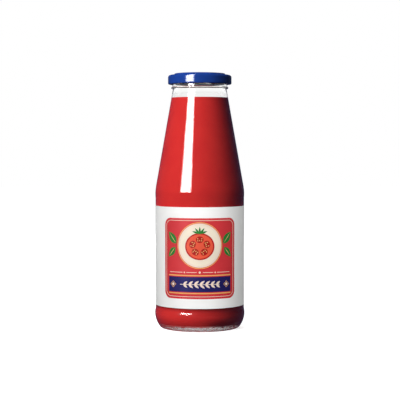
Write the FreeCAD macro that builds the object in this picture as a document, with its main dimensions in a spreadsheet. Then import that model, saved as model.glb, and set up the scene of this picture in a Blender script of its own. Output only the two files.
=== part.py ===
import FreeCAD, Part
import math
import os

import Sketcher

# A bottle of passata in four pieces: a clear glass bottle with a long tapered neck,
# the passata in it, a paper label wrapped round its straight wall, and a twist-off
# metal lid. Millimetres. The bottle stands on Z = 0, its axis is Z, and the front of
# the label faces -Y.

# Driving sizes: name, value, what it is. Lengths in millimetres, turns in degrees.
SIZES = [
    ("body_radius", 39.2, "outside of the straight glass wall, under the label"),
    ("wall", 2.4, "glass thickness at the shoulder and up the neck"),
    ("heel_height", 13.7, "height of the widest line of the heel"),
    ("heel_bulge", 0.55, "how far the heel stands out from the straight wall"),
    ("heel_round", 20.6, "radius of the heel's curve below its widest line"),
    ("heel_crown", 12.0, "radius of the heel's curve above its widest line"),
    ("heel_corner", 3.5, "radius of the edge between heel and base"),
    ("panel_fillet", 3.0, "hollow between the heel and the straight wall"),
    ("bearing_width", 1.6, "width of the flat ring that the bottle stands on"),
    ("push_up", 3.2, "height of the hollow under the base"),
    ("base_thickness", 4.6, "glass under the lowest ring of the inside"),
    ("floor_rise", 2.2, "how far the middle of the inside floor stands up"),
    ("floor_corner", 9.0, "radius between the inside floor and wall"),
    ("shoulder_height", 118.5, "height of the shoulder's widest line"),
    ("shoulder_bulge", 0.16, "how far the shoulder stands out from the wall"),
    ("shoulder_round", 38.0, "radius of the curve from the wall into the neck"),
    ("rim_height", 222.8, "height of the glass rim"),
    ("finish_radius", 24.3, "outside of the glass collar that carries the thread"),
    ("finish_wall", 2.5, "glass thickness of that collar"),
    ("bore_depth", 15.3, "length of the straight bore below the rim"),
    ("lip_round", 0.6, "radius on both edges of the rim"),
    ("bead_drop", 11.0, "from the rim down to the middle of the bead"),
    ("bead_radius", 0.9, "radius of the bead round the foot of the collar"),
    ("neck_step", 0.65, "how far the neck lies inside the collar"),
    ("thread_count", 4, "how many short threads the collar has"),
    ("thread_reach", 1.5, "how far a thread stands out from the collar"),
    ("thread_root", 0.9, "half the height of a thread at the collar"),
    ("thread_crest", 0.4, "half the height of a thread at its crest"),
    ("thread_sink", 0.4, "how deep a thread's root goes into the collar"),
    ("thread_drop", 7.0, "from the rim down to a thread's low end"),
    ("thread_rise", 4.0, "how far a thread climbs"),
    ("thread_turn", 80.0, "how far round a thread goes"),
    ("thread_start", 55.0, "where the first thread starts, round from +X"),
    ("headspace", 19.8, "from the rim down to the top of the passata"),
    ("label_rise", 7.2, "from the heel's widest line up to the label"),
    ("label_drop", 10.3, "from the shoulder's widest line down to the label"),
    ("label_thickness", 0.12, "the paper and its glue"),
    ("sheet", 0.3, "thickness of the lid's metal"),
    ("thread_gap", 0.4, "between the threads and the lid's curled edge"),
    ("curl_radius", 0.9, "radius of the lid's curled lower edge"),
    ("panel_inset", 1.2, "from the collar's outside in to the lid's raised panel"),
    ("panel_rise", 1.35, "how far that panel stands up"),
    ("panel_round", 0.6, "radius of the panel's edge"),
    ("lid_corner", 2.2, "radius between the lid's top and its skirt"),
    ("lug_thickness", 1.1, "height of a lug of the lid"),
    ("lug_width", 8.0, "length of a lug round the lid"),
    ("lug_lift", 0.25, "from the lid's lower edge up to a lug"),
    ("lug_gap", 0.3, "between a lug and the collar"),
    ("lug_clearance", 0.65, "between a lug and the middle of the thread over it"),
    ("lug_turn", 40.0, "how far along its thread a lug lies"),
]

# Sizes that follow from the driving ones.
HEEL_RADIUS = "(sizes.body_radius + sizes.heel_bulge)"
SHOULDER_RADIUS = "(sizes.body_radius + sizes.shoulder_bulge)"
SHOULDER_CENTRE = f"({SHOULDER_RADIUS} - sizes.shoulder_round)"
CAVITY_RADIUS = f"({SHOULDER_RADIUS} - sizes.wall)"
NECK_RADIUS = "(sizes.finish_radius - sizes.neck_step)"
BORE_RADIUS = "(sizes.finish_radius - sizes.finish_wall)"
BEAD_HEIGHT = "(sizes.rim_height - sizes.bead_drop)"
THREAD_HEIGHT = "(sizes.rim_height - sizes.thread_drop)"
FILL_HEIGHT = "(sizes.rim_height - sizes.headspace)"
LABEL_BOTTOM = "(sizes.heel_height + sizes.label_rise)"
LABEL_TOP = "(sizes.shoulder_height - sizes.label_drop)"
LID_SHOULDER = "(sizes.rim_height + sizes.sheet)"
LID_TOP = f"({LID_SHOULDER} + sizes.panel_rise)"
SKIRT_RADIUS = (
    "(sizes.finish_radius + sizes.thread_reach + sizes.thread_gap + 2 * sizes.curl_radius)"
)
CURL_CENTRE = f"({SKIRT_RADIUS} - sizes.curl_radius)"
PANEL_RADIUS = "(sizes.finish_radius - sizes.panel_inset)"
LUG_TOP = (
    f"({THREAD_HEIGHT} + sizes.thread_rise * sizes.lug_turn / sizes.thread_turn"
    " - sizes.thread_root - sizes.lug_clearance)"
)
LUG_BOTTOM = f"({LUG_TOP} - sizes.lug_thickness)"
LID_BOTTOM = f"({LUG_BOTTOM} - sizes.lug_lift)"
CURL_HEIGHT = f"({LID_BOTTOM} + sizes.curl_radius)"

START, END, CENTRE = 1, 2, 3  # the points of a line or an arc in a sketch
ORIGIN, ACROSS_AXIS, UP_AXIS = (-1, 1), -1, -2  # what every sketch holds already
FULL_TURN = 360

doc = FreeCAD.newDocument("passata_bottle")
sheet = doc.addObject("Spreadsheet::Sheet", "sizes")
for row, (alias, number, note) in enumerate(SIZES, start=1):
    sheet.set(f"A{row}", note)
    sheet.set(f"B{row}", str(number))
    sheet.setAlias(f"B{row}", alias)
doc.recompute()


def value(expression):
    """The number that an expression of the sheet's sizes gives now."""
    return float(sheet.evalExpression(expression.replace("sizes.", "")))


def new_sketch(body, name, plane="XZ_Plane", height=None):
    """A sketch on one of the body's own origin planes, raised to a height if given."""
    sketch = body.newObject("Sketcher::SketchObject", name)
    support = next(part for part in body.Origin.OriginFeatures if part.Role == plane)
    sketch.AttachmentSupport = [(support, "")]
    sketch.MapMode = "FlatFace"
    if height is not None:
        sketch.setExpression("AttachmentOffset.Base.z", height)
    return sketch


def dimension(sketch, kind, refs, expression):
    """A dimension of the sketch, bound to the sheet."""
    index = sketch.addConstraint(Sketcher.Constraint(kind, *refs, value(expression)))
    sketch.setExpression(f"Constraints[{index}]", expression)


class Outline:
    """A closed outline in a sketch, drawn piece by piece from the point where the last
    piece ended. Points are (across, up). The numbers only start the drawing off: the
    dimensions and tangents are what hold it."""

    def __init__(self, sketch, across, up):
        self.sketch = sketch
        self.point = FreeCAD.Vector(across, up, 0)
        self.first = None
        self.last = None

    def add(self, shape, head, tail, tangent):
        index = self.sketch.addGeometry(shape, False)
        if self.last:
            kind = "Tangent" if tangent else "Coincident"
            self.sketch.addConstraint(Sketcher.Constraint(kind, *self.last, index, head))
        self.first = self.first or (index, head)
        self.last = (index, tail)

    def start_up(self, expression):
        """Hold the point that the outline starts from at this height."""
        dimension(self.sketch, "DistanceY", [*ORIGIN, *self.first], expression)
        return self

    def line(self, across, up, tangent=False):
        """A straight piece to a point."""
        end = FreeCAD.Vector(across, up, 0)
        self.add(Part.LineSegment(self.point, end), START, END, tangent)
        self.point = end
        return self

    def arc(self, centre, degrees, tangent=True):
        """A round piece about a centre. Positive degrees go anticlockwise."""
        middle = FreeCAD.Vector(*centre, 0)
        spoke = self.point - middle
        begin = math.atan2(spoke.y, spoke.x)
        finish = begin + math.radians(degrees)
        circle = Part.Circle(middle, FreeCAD.Vector(0, 0, 1), spoke.Length)
        reach = FreeCAD.Vector(math.cos(finish), math.sin(finish), 0) * spoke.Length
        if degrees > 0:
            self.add(Part.ArcOfCircle(circle, begin, finish), START, END, tangent)
        else:
            self.add(Part.ArcOfCircle(circle, finish, begin), END, START, tangent)
        self.point = middle + reach
        return self

    def close(self):
        """A straight piece back to the start."""
        begin = self.sketch.getPoint(*self.first)
        self.line(begin.x, begin.y)
        self.sketch.addConstraint(Sketcher.Constraint("Coincident", *self.last, *self.first))
        return self

    def radius(self, expression):
        dimension(self.sketch, "Radius", [self.last[0]], expression)
        return self

    def across(self, expression, point=None):
        """Hold the end of the last piece, or its centre, this far from the axis."""
        at = (self.last[0], point) if point else self.last
        dimension(self.sketch, "DistanceX", [*ORIGIN, *at], expression)
        return self

    def up(self, expression, point=None):
        """Hold the end of the last piece, or its centre, at this height."""
        at = (self.last[0], point) if point else self.last
        dimension(self.sketch, "DistanceY", [*ORIGIN, *at], expression)
        return self

    def on_axis(self, axis, point=None):
        at = (self.last[0], point) if point else self.last
        self.sketch.addConstraint(Sketcher.Constraint("PointOnObject", *at, axis))
        return self

    def level(self):
        self.sketch.addConstraint(Sketcher.Constraint("Horizontal", self.last[0]))
        return self

    def upright(self):
        self.sketch.addConstraint(Sketcher.Constraint("Vertical", self.last[0]))
        return self


def spin(body, kind, sketch, name):
    """Turn a sketch right round the axis, to add glass or metal or to take it away."""
    feature = body.newObject(f"PartDesign::{kind}", name)
    feature.Profile = sketch
    feature.ReferenceAxis = (sketch, ["V_Axis"])
    feature.Angle = FULL_TURN
    sketch.Visibility = False
    return feature


def repeat_round(body, feature, name):
    """Repeat a feature as often as the collar has threads."""
    pattern = body.newObject("PartDesign::PolarPattern", name)
    pattern.Originals = [feature]
    up_axis = next(part for part in body.Origin.OriginFeatures if part.Role == "Z_Axis")
    pattern.Axis = (up_axis, [""])
    pattern.Angle = FULL_TURN
    pattern.setExpression("Occurrences", "sizes.thread_count")
    body.Tip = pattern
    return pattern


def new_body(label, turn=None):
    """A body whose label names its piece, turned round the axis if given."""
    body = doc.addObject("PartDesign::Body", label)
    body.Label = label
    body.Placement = FreeCAD.Placement(FreeCAD.Vector(), FreeCAD.Rotation(FreeCAD.Vector(0, 0, 1), 0))
    if turn is not None:
        body.setExpression("Placement.Rotation.Angle", turn)
    return body


def draw_bottle_outside(sketch):
    """Half the bottle's outside, from the middle of its base up to its rim."""
    heel_radius = value(HEEL_RADIUS)
    heel_height = value("sizes.heel_height")
    heel_round = value("sizes.heel_round")
    crown = value("sizes.heel_crown")
    corner = value("sizes.heel_corner")
    fillet = value("sizes.panel_fillet")
    wall = value("sizes.body_radius")
    shoulder_centre = value(SHOULDER_CENTRE)
    shoulder_height = value("sizes.shoulder_height")
    shoulder_round = value("sizes.shoulder_round")
    neck = value(NECK_RADIUS)
    collar = value("sizes.finish_radius")
    bead = value("sizes.bead_radius")
    bead_height = value(BEAD_HEIGHT)
    lip = value("sizes.lip_round")
    rim = value("sizes.rim_height")
    hollow = value("sizes.push_up")

    # The two curves of the heel touch, so their centres lie a known distance apart.
    heel_centre = heel_radius - heel_round
    lean = math.acos((heel_height - corner) / (heel_round - corner))
    bearing = heel_centre + (heel_round - corner) * math.sin(lean)
    inner = bearing - value("sizes.bearing_width")
    dome = (inner**2 + hollow**2) / (2 * hollow)
    crown_lean = math.acos((wall + fillet - heel_radius + crown) / (crown + fillet))
    panel_low = heel_height + (crown + fillet) * math.sin(crown_lean)
    shoulder_lean = math.acos((wall - shoulder_centre) / shoulder_round)
    panel_high = shoulder_height - shoulder_round * math.sin(shoulder_lean)
    rise = bead_height - bead - shoulder_height
    reach = neck - shoulder_centre
    taper = math.atan2(rise, reach) - math.acos(shoulder_round / math.hypot(rise, reach))

    outline = Outline(sketch, 0, hollow)
    outline.arc((0, hollow - dome), -math.degrees(math.asin(inner / dome)))
    outline.on_axis(UP_AXIS, CENTRE).on_axis(ACROSS_AXIS)
    outline.start_up("sizes.push_up")
    outline.line(bearing, 0).level()
    dimension(sketch, "Distance", [outline.last[0]], "sizes.bearing_width")
    outline.arc((bearing, corner), 90 - math.degrees(math.pi / 2 - lean)).radius("sizes.heel_corner")
    outline.arc((heel_centre, heel_height), 90 - math.degrees(lean)).radius("sizes.heel_round")
    outline.across(HEEL_RADIUS).up("sizes.heel_height").up("sizes.heel_height", CENTRE)
    outline.arc((heel_radius - crown, heel_height), math.degrees(crown_lean)).radius("sizes.heel_crown")
    outline.arc((wall + fillet, panel_low), -math.degrees(crown_lean)).radius("sizes.panel_fillet")
    outline.line(wall, panel_high, tangent=True).upright().across("sizes.body_radius")
    outline.arc((shoulder_centre, shoulder_height), math.degrees(shoulder_lean + taper), tangent=False)
    outline.radius("sizes.shoulder_round")
    outline.across(SHOULDER_CENTRE, CENTRE).up("sizes.shoulder_height", CENTRE)
    outline.line(neck, bead_height - bead, tangent=True)
    outline.across(NECK_RADIUS).up(f"{BEAD_HEIGHT} - sizes.bead_radius")
    outline.line(collar, bead_height - bead).level().across("sizes.finish_radius")
    outline.arc((collar, bead_height), 180, tangent=False).radius("sizes.bead_radius")
    outline.across("sizes.finish_radius").across("sizes.finish_radius", CENTRE)
    outline.line(collar, rim - lip).upright()
    outline.arc((collar - lip, rim - lip), 90).radius("sizes.lip_round")
    outline.line(0, rim, tangent=True).level().on_axis(UP_AXIS).up("sizes.rim_height")
    outline.close().upright()


def draw_bottle_inside(sketch):
    """Half the hollow of the bottle, from the middle of its floor up to its rim."""
    radius = value(CAVITY_RADIUS)
    low = value("sizes.base_thickness")
    middle = low + value("sizes.floor_rise")
    corner = value("sizes.floor_corner")
    shoulder_centre = value(SHOULDER_CENTRE)
    shoulder_height = value("sizes.shoulder_height")
    shoulder_round = value(f"sizes.shoulder_round - sizes.wall")
    bore = value(BORE_RADIUS)
    bore_low = value("sizes.rim_height - sizes.bore_depth")
    lip = value("sizes.lip_round")
    rim = value("sizes.rim_height")

    # The floor's arc is centred on the axis and touches the corner's.
    across, up = radius - corner, low + corner - middle
    floor = (across**2 + up**2 - corner**2) / (2 * (corner - up))
    lean = math.atan2(across, floor + up)
    rise = bore_low - shoulder_height
    reach = bore - shoulder_centre
    taper = math.atan2(rise, reach) - math.acos(shoulder_round / math.hypot(rise, reach))

    outline = Outline(sketch, 0, middle)
    outline.arc((0, middle - floor), -math.degrees(lean)).on_axis(UP_AXIS, CENTRE)
    outline.start_up("sizes.base_thickness + sizes.floor_rise")
    outline.arc((radius - corner, low + corner), 90 + math.degrees(lean)).radius("sizes.floor_corner")
    outline.up("sizes.base_thickness + sizes.floor_corner", CENTRE)
    outline.line(radius, shoulder_height, tangent=True).upright().across(CAVITY_RADIUS)
    outline.arc((shoulder_centre, shoulder_height), math.degrees(taper))
    outline.radius("sizes.shoulder_round - sizes.wall").up("sizes.shoulder_height", CENTRE)
    outline.line(bore, bore_low, tangent=True)
    outline.across(BORE_RADIUS).up("sizes.rim_height - sizes.bore_depth")
    outline.line(bore, rim - lip).upright()
    outline.arc((bore + lip, rim - lip), -90).radius("sizes.lip_round")
    outline.across(f"{BORE_RADIUS} + sizes.lip_round").up("sizes.rim_height")
    outline.line(bore + lip, rim + lip).upright().up("sizes.rim_height + sizes.lip_round")
    outline.line(0, rim + lip).level().on_axis(UP_AXIS)
    outline.close().upright()


def draw_lid(sketch):
    """Half the lid's metal: raised panel, flat shoulder, skirt and curled edge, then
    back up the inside."""
    top = value(LID_TOP)
    shoulder = value(LID_SHOULDER)
    panel = value(PANEL_RADIUS)
    edge = value("sizes.panel_round")
    skirt = value(SKIRT_RADIUS)
    corner = value("sizes.lid_corner")
    curl = value("sizes.curl_radius")
    curl_height = value(CURL_HEIGHT)
    sheet_thickness = value("sizes.sheet")
    opening = math.degrees(math.acos(1 - sheet_thickness / curl))
    curl_top = curl_height + curl * math.sin(math.radians(opening))

    outline = Outline(sketch, 0, top)
    outline.line(panel - edge, top).level().start_up(LID_TOP)
    outline.arc((panel - edge, top - edge), -90).radius("sizes.panel_round")
    outline.line(panel, shoulder, tangent=True).upright().across(PANEL_RADIUS).up(LID_SHOULDER)
    outline.line(skirt - corner, shoulder).level()
    outline.arc((skirt - corner, shoulder - corner), -90).radius("sizes.lid_corner")
    outline.line(skirt, curl_height, tangent=True).upright().across(SKIRT_RADIUS).up(CURL_HEIGHT)
    outline.arc((skirt - curl, curl_height), opening - FULL_TURN).radius("sizes.curl_radius")
    outline.across(f"{SKIRT_RADIUS} - sizes.sheet")

    inside = skirt - sheet_thickness
    outline.line(inside, shoulder - corner).upright()
    outline.arc((skirt - corner, shoulder - corner), 90).radius("sizes.lid_corner - sizes.sheet")
    outline.line(panel - sheet_thickness, shoulder - sheet_thickness, tangent=True).level()
    outline.across(f"{PANEL_RADIUS} - sizes.sheet").up("sizes.rim_height")
    outline.line(panel - sheet_thickness, top - edge).upright()
    outline.arc((panel - edge, top - edge), 90).radius("sizes.panel_round - sizes.sheet")
    outline.line(0, top - sheet_thickness, tangent=True).level()
    outline.on_axis(UP_AXIS).up(f"{LID_TOP} - sizes.sheet")
    outline.close().upright()


def draw_box(sketch, corners):
    """A four-sided outline whose corners are pairs of expressions."""
    start, *others = corners
    outline = Outline(sketch, value(start[0]), value(start[1]))
    for across, up in others:
        outline.line(value(across), value(up)).across(across).up(up)
    outline.close()
    dimension(sketch, "DistanceX", [*ORIGIN, *outline.first], start[0])
    dimension(sketch, "DistanceY", [*ORIGIN, *outline.first], start[1])


def make_bottle():
    """The glass: the outside turned solid, the hollow taken out, the threads added."""
    body = new_body("glass_bottle", "sizes.thread_start")
    outside = new_sketch(body, "bottle_outside")
    draw_bottle_outside(outside)
    spin(body, "Revolution", outside, "bottle_solid")
    inside = new_sketch(body, "bottle_inside")
    draw_bottle_inside(inside)
    spin(body, "Groove", inside, "bottle_hollow")

    section = new_sketch(body, "thread_section")
    root = "sizes.finish_radius - sizes.thread_sink"
    crest = "sizes.finish_radius + sizes.thread_reach"
    draw_box(
        section,
        [
            (root, f"{THREAD_HEIGHT} - sizes.thread_root"),
            (crest, f"{THREAD_HEIGHT} - sizes.thread_crest"),
            (crest, f"{THREAD_HEIGHT} + sizes.thread_crest"),
            (root, f"{THREAD_HEIGHT} + sizes.thread_root"),
        ],
    )
    thread = body.newObject("PartDesign::AdditiveHelix", "thread")
    thread.Profile = section
    thread.ReferenceAxis = (section, ["V_Axis"])
    thread.Mode = "height-turns-angle"
    thread.setExpression("Height", "sizes.thread_rise")
    thread.setExpression("Turns", "sizes.thread_turn / 360")
    thread.Angle = 0
    repeat_round(body, thread, "threads")
    return body


def make_passata():
    """The passata fills the hollow up to its own level."""
    body = new_body("passata")
    inside = new_sketch(body, "passata_outside")
    draw_bottle_inside(inside)
    spin(body, "Revolution", inside, "passata_solid")
    empty = new_sketch(body, "headspace_section")
    draw_box(
        empty,
        [
            ("0", FILL_HEIGHT),
            ("sizes.body_radius", FILL_HEIGHT),
            ("sizes.body_radius", "sizes.rim_height + 2 * sizes.lip_round"),
            ("0", "sizes.rim_height + 2 * sizes.lip_round"),
        ],
    )
    spin(body, "Groove", empty, "headspace_cut")
    return body


def make_label():
    """The label: a paper tube glued round the straight wall."""
    body = new_body("label")
    ring = new_sketch(body, "label_section", "XY_Plane", LABEL_BOTTOM)
    centre = FreeCAD.Vector(0, 0, 0)
    for radius in ("sizes.body_radius", "sizes.body_radius + sizes.label_thickness"):
        circle = Part.Circle(centre, FreeCAD.Vector(0, 0, 1), value(radius))
        index = ring.addGeometry(circle, False)
        ring.addConstraint(Sketcher.Constraint("Coincident", index, CENTRE, *ORIGIN))
        dimension(ring, "Radius", [index], radius)
    wrap = body.newObject("PartDesign::Pad", "label_wrap")
    wrap.Profile = ring
    wrap.setExpression("Length", f"{LABEL_TOP} - {LABEL_BOTTOM}")
    return body


def make_lid():
    """The lid: one metal sheet with a curled edge, and lugs that lie under the threads."""
    body = new_body("lid", "sizes.thread_start + sizes.lug_turn")
    metal = new_sketch(body, "lid_section")
    draw_lid(metal)
    spin(body, "Revolution", metal, "lid_shell")
    outline = new_sketch(body, "lug_outline", "XY_Plane", LUG_BOTTOM)
    inner = "sizes.finish_radius + sizes.lug_gap"
    draw_box(
        outline,
        [
            (inner, "-sizes.lug_width / 2"),
            (CURL_CENTRE, "-sizes.lug_width / 2"),
            (CURL_CENTRE, "sizes.lug_width / 2"),
            (inner, "sizes.lug_width / 2"),
        ],
    )
    lug = body.newObject("PartDesign::Pad", "lug")
    lug.Profile = outline
    lug.setExpression("Length", "sizes.lug_thickness")
    repeat_round(body, lug, "lugs")
    return body


def check(pieces):
    """Stop if anything in the document failed, or a sketch is loose."""
    for item in doc.Objects:
        if "Invalid" in item.State or "Error" in item.State:
            raise RuntimeError(f"{item.Name}: {item.State}")
        if item.TypeId == "Sketcher::SketchObject" and not item.FullyConstrained:
            raise RuntimeError(f"{item.Name} is not fully constrained")
    for piece in pieces:
        if piece.Shape.isNull() or not piece.Shape.isValid() or len(piece.Shape.Solids) != 1:
            raise RuntimeError(f"{piece.Label} is not one valid solid")


pieces = [make_bottle(), make_passata(), make_label(), make_lid()]
doc.recompute()
check(pieces)
os.makedirs("parts", exist_ok=True)
for piece in pieces:
    piece.Shape.exportStep(f"parts/{piece.Label}.step")
    box = piece.Shape.BoundBox
    print(f"{piece.Label}: {piece.Shape.Volume / 1000:.1f} cm3, Z {box.ZMin:.2f} to {box.ZMax:.2f} mm")
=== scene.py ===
# %% [markdown]
# # A bottle of passata
# This lesson dresses a measured bottle for a product shot. The frame holds four solids:
# the glass bottle, the passata inside it, the paper label and the twist-off lid. Each one
# is modelled again here with the curves and small marks that a measured solid leaves out,
# in metres and in the same place. Glass, food, paper and enamel each get their own finish.

import math

import bmesh
import bpy
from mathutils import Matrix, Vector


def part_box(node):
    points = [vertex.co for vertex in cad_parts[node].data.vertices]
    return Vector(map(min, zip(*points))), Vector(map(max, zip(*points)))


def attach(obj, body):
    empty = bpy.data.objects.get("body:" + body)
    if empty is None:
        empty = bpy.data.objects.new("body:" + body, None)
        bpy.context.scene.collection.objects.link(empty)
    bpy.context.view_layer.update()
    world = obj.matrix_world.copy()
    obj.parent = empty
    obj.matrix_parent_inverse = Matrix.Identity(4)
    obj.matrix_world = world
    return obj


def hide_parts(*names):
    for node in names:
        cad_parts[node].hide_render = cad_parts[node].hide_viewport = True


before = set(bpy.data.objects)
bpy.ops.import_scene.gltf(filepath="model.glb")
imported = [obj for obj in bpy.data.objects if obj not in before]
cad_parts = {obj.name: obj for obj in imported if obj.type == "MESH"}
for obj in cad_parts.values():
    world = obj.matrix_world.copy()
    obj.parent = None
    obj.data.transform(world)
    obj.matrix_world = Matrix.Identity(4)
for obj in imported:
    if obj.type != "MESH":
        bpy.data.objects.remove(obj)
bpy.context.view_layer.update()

# %% [markdown]
# ## Sizes
# The frame gives the large sizes, so every piece is worked out from its boxes. The rest
# are the small sizes of such a bottle: wall, radii, thread and sheet metal.

# %% Read the large sizes
MM = 0.001


def reach(node):
    """How far a round node reaches from the axis."""
    low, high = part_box(node)
    return min(high[0], high[1], -low[0], -low[1])


heel_radius = reach("glass_bottle")
rim_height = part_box("glass_bottle")[1][2]
fill_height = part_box("passata")[1][2]
floor_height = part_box("passata")[0][2]
label_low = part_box("label")[0][2]
label_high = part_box("label")[1][2]
lid_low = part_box("lid")[0][2]
lid_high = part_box("lid")[1][2]
skirt_radius = reach("lid")
print(f"heel {heel_radius / MM:.2f} mm, rim {rim_height / MM:.1f} mm, lid {lid_high / MM:.2f} mm")

# %% Name the small sizes
wall_radius = reach("label") - 0.12 * MM
glass_wall = 2.4 * MM
heel_height = 13.7 * MM
heel_round = 20.6 * MM
heel_crown = 12.0 * MM
heel_corner = 3.5 * MM
panel_fillet = 3.0 * MM
bearing_width = 1.6 * MM
push_up = 3.2 * MM
floor_rise = 2.2 * MM
floor_corner = 9.0 * MM
shoulder_height = 118.5 * MM
shoulder_radius = wall_radius + 0.16 * MM
shoulder_round = 38.0 * MM
collar_radius = 24.3 * MM
neck_radius = collar_radius - 0.65 * MM
bore_radius = collar_radius - 2.5 * MM
bore_low = rim_height - 15.3 * MM
lip_round = 0.6 * MM
bead_height = rim_height - 11.0 * MM
bead_radius = 0.9 * MM
cavity_radius = shoulder_radius - glass_wall
print(f"straight wall {wall_radius / MM:.2f} mm, hollow {cavity_radius / MM:.2f} mm")

# %% [markdown]
# ## Camera
# The bottle is seen from a little above its middle, from about a metre away with a long
# lens, so its upright lines stay nearly upright and its rings show as flat ovals.

# %% Place the camera
camera_distance = 1.087
camera_height = 0.1587
camera_aside = 0.0002
look_down = 2.415
camera_data = bpy.data.cameras.new("camera")
camera_data.sensor_width = 36
camera_data.lens = 110.5
camera = bpy.data.objects.new("camera", camera_data)
camera.location = (camera_aside, -camera_distance, camera_height)
camera.rotation_euler = (math.radians(90 - look_down), 0, 0)
bpy.context.scene.collection.objects.link(camera)
bpy.context.scene.camera = camera
bpy.context.scene.view_settings.view_transform = "Standard"
print(f"camera {camera_distance:.3f} m away, {camera_height:.3f} m up, {camera_data.lens} mm lens")

# %% [markdown]
# ## Tools for the pieces
# Nearly everything here is round, so one helper draws half an outline by extruding a
# point, and spins it about the axis, as a lathe would. Round stretches of an outline are
# worked out as arcs and long straight ones get a few points, so that the smooth shading
# stays true beside a curve.


# %% Outlines
def round_stretch(centre, radius, start, end, steps=12):
    """Points along an arc, in degrees anticlockwise from straight out."""
    points = []
    for step in range(steps + 1):
        angle = math.radians(start + (end - start) * step / steps)
        points.append((centre[0] + radius * math.cos(angle), centre[1] + radius * math.sin(angle)))
    return points


def straight_stretch(start, end, steps):
    """Points along a straight line, ends left out."""
    return [
        (
            start[0] + (end[0] - start[0]) * step / steps,
            start[1] + (end[1] - start[1]) * step / steps,
        )
        for step in range(1, steps)
    ]


def drop_repeats(points):
    """The same outline without points that fall on each other."""
    kept = [points[0]]
    for point in points[1:]:
        if math.dist(point, kept[-1]) > 0.01 * MM:
            kept.append(point)
    return kept


# %% Drawing and turning
def clear_selection():
    """Nothing is selected and no object is being edited."""
    if bpy.context.object and bpy.context.object.mode != "OBJECT":
        bpy.ops.object.mode_set(mode="OBJECT")
    bpy.ops.object.select_all(action="DESELECT")


def take(*pieces):
    """Only these pieces are selected, and the first one is active."""
    clear_selection()
    for piece in pieces:
        piece.select_set(True)
    bpy.context.view_layer.objects.active = pieces[0]
    return pieces[0]


def draw_outline(name, points, closed=False):
    """A line of edges in the XZ plane, drawn by pulling one point along."""
    clear_selection()
    bpy.ops.mesh.primitive_plane_add(size=1 * MM)
    piece = bpy.context.object
    piece.name = name
    bpy.ops.object.mode_set(mode="EDIT")
    bpy.ops.mesh.select_mode(type="VERT")
    bpy.ops.mesh.select_all(action="SELECT")
    bpy.ops.mesh.merge(type="CENTER")
    bpy.ops.transform.translate(value=(points[0][0], 0, points[0][1]))
    for before, after in zip(points, points[1:]):
        step = (after[0] - before[0], 0, after[1] - before[1])
        bpy.ops.mesh.extrude_region_move(TRANSFORM_OT_translate={"value": step})
    bpy.ops.mesh.select_all(action="SELECT")
    if closed:
        bpy.ops.mesh.edge_face_add()
    return piece


def smooth(piece, degrees=30):
    """Smooth shading, with edges sharper than this left crisp."""
    take(piece)
    bpy.ops.object.shade_smooth_by_angle(angle=math.radians(degrees))


def tidy_mesh():
    """Merges what falls together and points all faces outwards, in edit mode."""
    bpy.ops.mesh.select_all(action="SELECT")
    bpy.ops.mesh.remove_doubles(threshold=0.002 * MM)
    bpy.ops.mesh.normals_make_consistent(inside=False)
    bpy.ops.object.mode_set(mode="OBJECT")


turned_steps = 192


def turn(name, points):
    """A piece turned about Z from half its outline."""
    piece = draw_outline(name, drop_repeats(points))
    bpy.ops.mesh.spin(steps=turned_steps, angle=math.tau, center=(0, 0, 0), axis=(0, 0, 1))
    tidy_mesh()
    smooth(piece)
    print(f"{name}: {len(piece.data.polygons)} faces")
    return piece


def pick_faces(piece, wanted):
    """Edit mode with the faces selected whose middle passes a test."""
    take(piece)
    bpy.ops.object.mode_set(mode="EDIT")
    bpy.ops.mesh.select_mode(type="FACE")
    bpy.ops.mesh.select_all(action="DESELECT")
    shape = bmesh.from_edit_mesh(piece.data)
    picked = 0
    for face in shape.faces:
        face.select = wanted(face.calc_center_median())
        picked += face.select
    bmesh.update_edit_mesh(piece.data)
    return picked


def apply_modifier(piece, kind, **settings):
    """Adds one modifier and applies it at once."""
    take(piece)
    modifier = piece.modifiers.new(kind.title(), kind)
    for setting, value in settings.items():
        setattr(modifier, setting, value)
    bpy.ops.object.modifier_apply(modifier=modifier.name)

# %% [markdown]
# ## Glass bottle
# A bottle like this is blown in a mould: its outside is crisp and its inside follows it.
# The outline runs from the hollow under the base, over the bearing ring and heel, up the
# straight wall and the long neck to the rim, and back down the inside. Turning it in one
# go keeps the glass one closed skin, which is what lets light bend through it rightly.


# %% Outline of the outside
def taper_angle(centre, radius, top):
    """Where a straight line to the top leaves an arc centred beside the wall."""
    rise, inward = top[1] - centre[1], top[0] - centre[0]
    return math.degrees(
        math.atan2(rise, inward) - math.acos(radius / math.hypot(rise, inward))
    )


heel_centre = heel_radius - heel_round
heel_lean = math.acos((heel_height - heel_corner) / (heel_round - heel_corner))
bearing_outer = heel_centre + (heel_round - heel_corner) * math.sin(heel_lean)
bearing_inner = bearing_outer - bearing_width
print(f"the base stands on a ring from {bearing_inner / MM:.2f} to {bearing_outer / MM:.2f} mm")


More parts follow.
